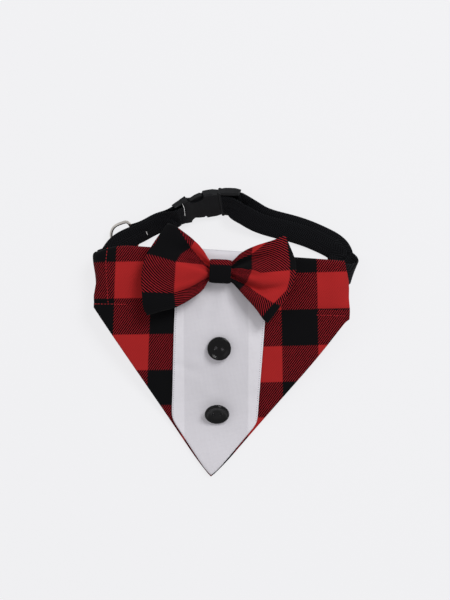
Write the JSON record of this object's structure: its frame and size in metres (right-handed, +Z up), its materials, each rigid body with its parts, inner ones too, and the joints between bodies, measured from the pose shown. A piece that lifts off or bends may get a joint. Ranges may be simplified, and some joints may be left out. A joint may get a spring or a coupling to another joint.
{
  "type": "pet bow tie collar",
  "caption": "Buckled webbing pet collar with a D-ring, a plaid neckerchief on its sleeve, a white shirt front with buttons and a plaid bow tie, lying face up.",
  "frame": {"origin": "on the table, under the middle of the collar's bounding box", "axes": "+X towards the strap's right bend, +Y from the neckerchief's tip to its sleeve and the buckle, +Z up from the table, out of the bow"},
  "size_m": [0.1864, 0.2046, 0.0427],
  "materials": {
    "webbing": "woven nylon",
    "buckle_plastic": "fine matte",
    "ring_metal": "bright plated",
    "plaid_cloth": "brushed flannel",
    "white_cloth": "plain cotton",
    "bow_cloth": "brushed flannel",
    "knot_cloth": "brushed flannel",
    "button_plastic": "polished"
  },
  "bodies": {
    "collar": {"strap": "webbing", "buckle_socket": "buckle_plastic", "buckle_plug": "buckle_plastic", "neckerchief": "plaid_cloth", "shirt_front": "white_cloth", "bow_wings": "bow_cloth", "bow_knot": "knot_cloth", "button_upper": "button_plastic", "button_lower": "button_plastic"},
    "ring": {"d_ring": "ring_metal"}
  },
  "joints": [
    {"name": "ring_swing", "type": "hinge", "parent": "collar", "child": "ring", "pos_m": [-0.06633, 0.06754, 0.00709], "axis": [0.3933, -0.8081, -0.4385], "range_deg": [0, 110]}
  ]
}
